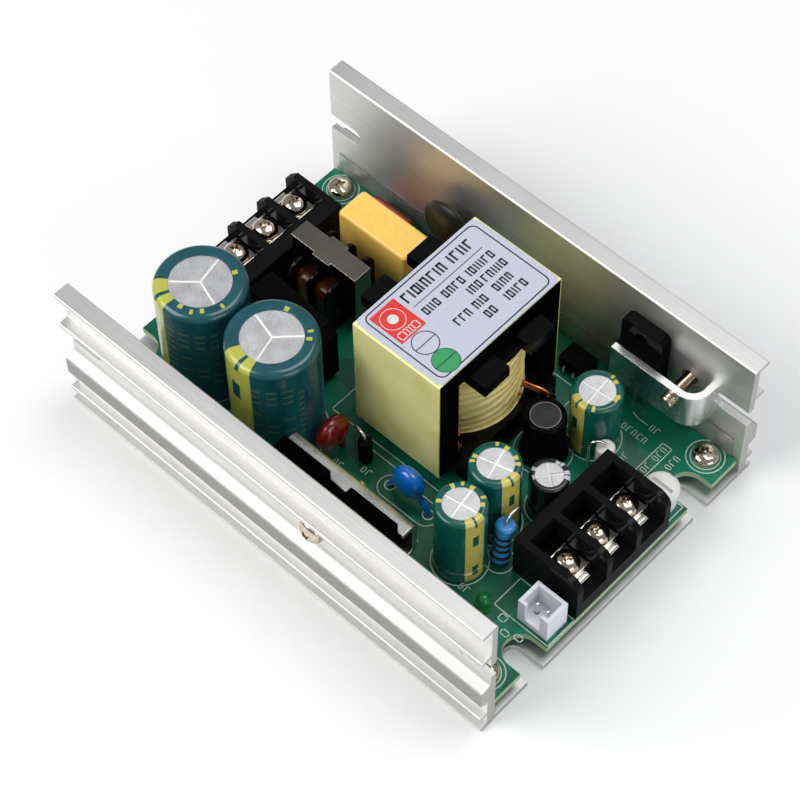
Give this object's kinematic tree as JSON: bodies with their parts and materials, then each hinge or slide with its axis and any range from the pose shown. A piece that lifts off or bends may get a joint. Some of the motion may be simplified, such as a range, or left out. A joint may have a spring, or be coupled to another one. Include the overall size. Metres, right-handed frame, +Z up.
{
  "type": "switching power supply",
  "caption": "Open-frame switching power supply: a loaded circuit board in a finned U-shaped aluminium chassis, with barrier terminals for mains input and low-voltage output.",
  "frame": {"origin": "bottom centre of the chassis, on the floor it stands on", "axes": "+X along the walls to the output terminals, +Y to the wall with the clamped rectifier, +Z up"},
  "size_m": [0.11, 0.08, 0.0393],
  "materials": {
    "chassis": "satin, extruded",
    "circuit_board": "green solder mask",
    "steel_screws": "nickel plated",
    "standoff_steel": "zinc plated",
    "clear_film": "clear film",
    "block_plastic": "black moulding",
    "terminal_metal": "nickel plated",
    "ferrite": "dark ferrite",
    "bobbin_plastic": "black moulding",
    "copper": "enamelled copper",
    "clip_metal": "nickel plated",
    "box_capacitor": "yellow moulding",
    "red_coating": "red dipped",
    "dark_coating": "dark dipped",
    "can_metal": "bright can",
    "teal_sleeve": "teal sleeve",
    "green_sleeve": "green sleeve",
    "black_sleeve": "black sleeve",
    "shrink_tube": "heat-shrink",
    "tape": "yellow polyester tape",
    "label": "grey label",
    "blue_coating": "blue dipped",
    "resistor_blue": "blue lacquer with bands",
    "white_ceramic": "white body",
    "epoxy": "moulded package",
    "lamp": "green lamp",
    "white_nylon": "white moulding",
    "tinned": "tinned",
    "soft_insulator": "silicone cap",
    "clamp_steel": "zinc plated",
    "bar_steel": "nickel plated"
  },
  "bodies": {
    "supply": {"banded_resistor": "resistor_blue", "board_screws": "steel_screws", "board_standoffs": "standoff_steel", "bridge_rectifier": "epoxy", "bulk_capacitor_1": "can_metal", "bulk_capacitor_2": "can_metal", "bulk_sleeve_1": "teal_sleeve", "bulk_sleeve_2": "teal_sleeve", "chassis": "chassis", "choke_bobbin": "bobbin_plastic", "choke_clip": "clip_metal", "choke_core": "ferrite", "choke_windings": "copper", "circuit_board": "circuit_board", "clamp_bar": "bar_steel", "clamp_bar_screw": "steel_screws", "clamp_plates": "terminal_metal", "clamp_strip": "clamp_steel", "clamp_strip_screw": "steel_screws", "component_leads": "tinned", "connector_housing": "white_nylon", "connector_pins": "tinned", "control_chips": "epoxy", "dipped_capacitor": "red_coating", "disc_capacitor": "blue_coating", "fuse": "red_coating", "inductor_core": "ferrite", "inductor_sleeve": "shrink_tube", "inductor_winding": "copper", "input_terminal_block": "block_plastic", "insulating_film": "clear_film", "output_capacitor_1": "can_metal", "output_capacitor_2": "can_metal", "output_capacitor_3": "can_metal", "output_rectifier": "epoxy", "output_sleeves": "green_sleeve", "output_terminal_block": "block_plastic", "power_leads": "tinned", "small_capacitor": "can_metal", "small_sleeve": "black_sleeve", "startup_diode": "epoxy", "status_led": "lamp", "switching_transistors": "epoxy", "terminal_screws": "terminal_metal", "terminals": "terminal_metal", "thermistor": "dark_coating", "transformer_bobbin": "bobbin_plastic", "transformer_core": "ferrite", "transformer_label": "label", "transformer_pins": "tinned", "transformer_tape": "tape", "transformer_winding": "tape", "transistor_sleeves": "soft_insulator", "trimmer_body": "white_nylon", "upright_resistor": "white_ceramic", "x_capacitor": "box_capacitor"},
    "trimmer_rotor": {"trimmer_rotor": "white_nylon"}
  },
  "joints": [
    {"name": "trimmer_turn", "type": "hinge", "parent": "supply", "child": "trimmer_rotor", "pos_m": [0.0492, 0.0184, 0.00895], "axis": [0, 0, 1], "range_deg": [-115, 115]}
  ]
}
